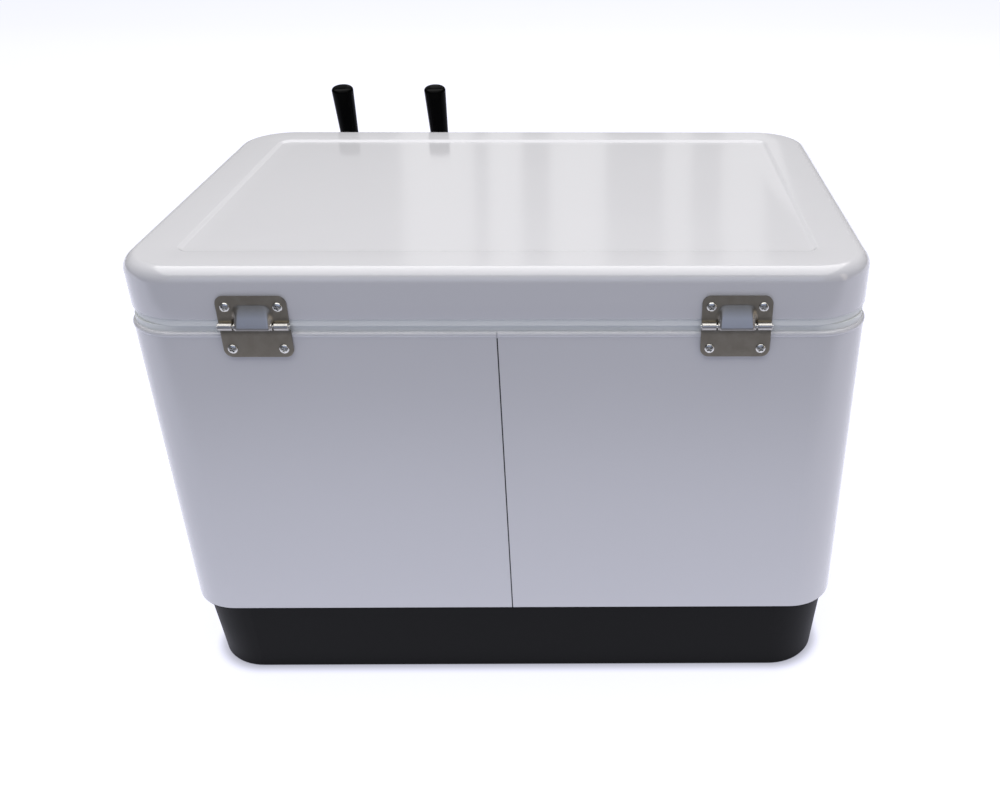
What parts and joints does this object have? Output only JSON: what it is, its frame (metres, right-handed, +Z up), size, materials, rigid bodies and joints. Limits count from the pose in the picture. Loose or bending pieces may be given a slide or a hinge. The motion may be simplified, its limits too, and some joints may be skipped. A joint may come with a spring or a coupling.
{
  "type": "draught beverage cooler",
  "caption": "Steel-clad insulated chest cooler with a hinged lid, side handles, a drain, a cold plate inside and beer taps on the front.",
  "frame": {"origin": "centre of the bottom face of the base, at floor level", "axes": "+Z up, +X along the long side, -Y the front with the taps, +Y the back with the lid hinges"},
  "size_m": [0.67, 0.5197, 0.463],
  "materials": {
    "painted_steel": "gloss white enamel on sheet steel",
    "white_plastic": "satin white moulded plastic",
    "black_plastic": "satin black moulded plastic",
    "foam": "rigid polyurethane foam",
    "hinge_steel": "satin pressed steel",
    "gloss_black": "gloss black plastic",
    "cast_aluminium": "cast aluminium",
    "beer_line": "flexible beer line",
    "seal_rubber": "soft rubber",
    "fastener_steel": "bright plated steel",
    "bright_steel": "polished steel"
  },
  "bodies": {
    "cooler": {"base_pan": "black_plastic", "steel_wrap": "painted_steel", "body_foam": "foam", "liner_tub": "white_plastic", "hinge_lower_left": "hinge_steel", "hinge_lower_right": "hinge_steel", "hinge_pins": "fastener_steel", "body_hinge_screws": "fastener_steel", "latch_catch": "hinge_steel", "latch_catch_screws": "fastener_steel", "bail_bracket_left": "hinge_steel", "bail_bracket_right": "hinge_steel", "bail_bracket_screws": "fastener_steel", "drain_spout": "white_plastic", "drain_nut": "white_plastic", "drain_gasket": "seal_rubber", "cold_plate": "cast_aluminium", "plate_fittings": "bright_steel", "supply_line_left": "beer_line", "supply_line_right": "beer_line", "tap_line_left": "beer_line", "tap_line_right": "beer_line", "inlet_shank_left": "bright_steel", "inlet_shank_right": "bright_steel", "inlet_nuts": "bright_steel", "shank_flange_left": "bright_steel", "shank_flange_right": "bright_steel", "shank_left": "bright_steel", "shank_right": "bright_steel", "shank_nuts": "bright_steel", "coupling_nut_left": "bright_steel", "coupling_nut_right": "bright_steel", "faucet_body_left": "bright_steel", "faucet_body_right": "bright_steel", "faucet_bonnet_left": "bright_steel", "faucet_bonnet_right": "bright_steel"},
    "lid": {"lid_shell": "painted_steel", "lid_foam": "foam", "lid_liner": "white_plastic", "hinge_upper_left": "hinge_steel", "hinge_upper_right": "hinge_steel", "lid_hinge_screws": "fastener_steel", "latch_plate": "hinge_steel", "latch_plate_screws": "fastener_steel", "latch_pin": "fastener_steel"},
    "latch": {"latch_lever": "bright_steel"},
    "bail_left": {"bail_left": "bright_steel", "grip_left": "black_plastic"},
    "bail_right": {"bail_right": "bright_steel", "grip_right": "black_plastic"},
    "tap_left": {"tap_lever_left": "bright_steel", "tap_ferrule_left": "bright_steel", "tap_handle_left": "gloss_black"},
    "tap_right": {"tap_lever_right": "bright_steel", "tap_ferrule_right": "bright_steel", "tap_handle_right": "gloss_black"},
    "valve_left": {"valve_shaft_left": "bright_steel"},
    "valve_right": {"valve_shaft_right": "bright_steel"},
    "drain_washer": {"drain_washer": "seal_rubber"},
    "drain_cap": {"drain_cap": "black_plastic"}
  },
  "joints": [
    {"name": "lid_hinge", "type": "hinge", "parent": "cooler", "child": "lid", "pos_m": [0, 0.2158, 0.378], "axis": [-1, 0, 0], "range_deg": [0, 95]},
    {"name": "latch_hinge", "type": "hinge", "parent": "lid", "child": "latch", "pos_m": [0, -0.2185, 0.3955], "axis": [-1, 0, 0], "range_deg": [-4, 110]},
    {"name": "bail_left_hinge", "type": "hinge", "parent": "cooler", "child": "bail_left", "pos_m": [-0.323, 0, 0.302], "axis": [0, 1, 0], "range_deg": [0, 95]},
    {"name": "bail_right_hinge", "type": "hinge", "parent": "cooler", "child": "bail_right", "pos_m": [0.323, 0, 0.302], "axis": [0, -1, 0], "range_deg": [0, 95]},
    {"name": "tap_left_lever", "type": "hinge", "parent": "cooler", "child": "tap_left", "pos_m": [0.107, -0.283, 0.315], "axis": [1, 0, 0], "range_deg": [0, 35]},
    {"name": "tap_right_lever", "type": "hinge", "parent": "cooler", "child": "tap_right", "pos_m": [0.2135, -0.283, 0.315], "axis": [1, 0, 0], "range_deg": [0, 35]},
    {"name": "valve_left_slide", "type": "slide", "parent": "cooler", "child": "valve_left", "axis": [0, 1, 0], "range_m": [0, 0.0102]},
    {"name": "valve_right_slide", "type": "slide", "parent": "cooler", "child": "valve_right", "axis": [0, 1, 0], "range_m": [0, 0.0102]},
    {"name": "drain_washer_slide", "type": "slide", "parent": "cooler", "child": "drain_washer", "axis": [1, 0, 0], "range_m": [0, 0.01201]},
    {"name": "drain_cap_spin", "type": "hinge", "parent": "drain_washer", "child": "drain_cap", "pos_m": [0.31, -0.11, 0.0555], "axis": [1, 0, 0], "range_deg": [0, 1080]}
  ],
  "couplings": [
    {"joint": "valve_left_slide", "follows": "tap_left_lever", "m_per_rad": 0.0165},
    {"joint": "valve_right_slide", "follows": "tap_right_lever", "m_per_rad": 0.0165},
    {"joint": "drain_washer_slide", "follows": "drain_cap_spin", "m_per_rad": 0.00063662}
  ]
}
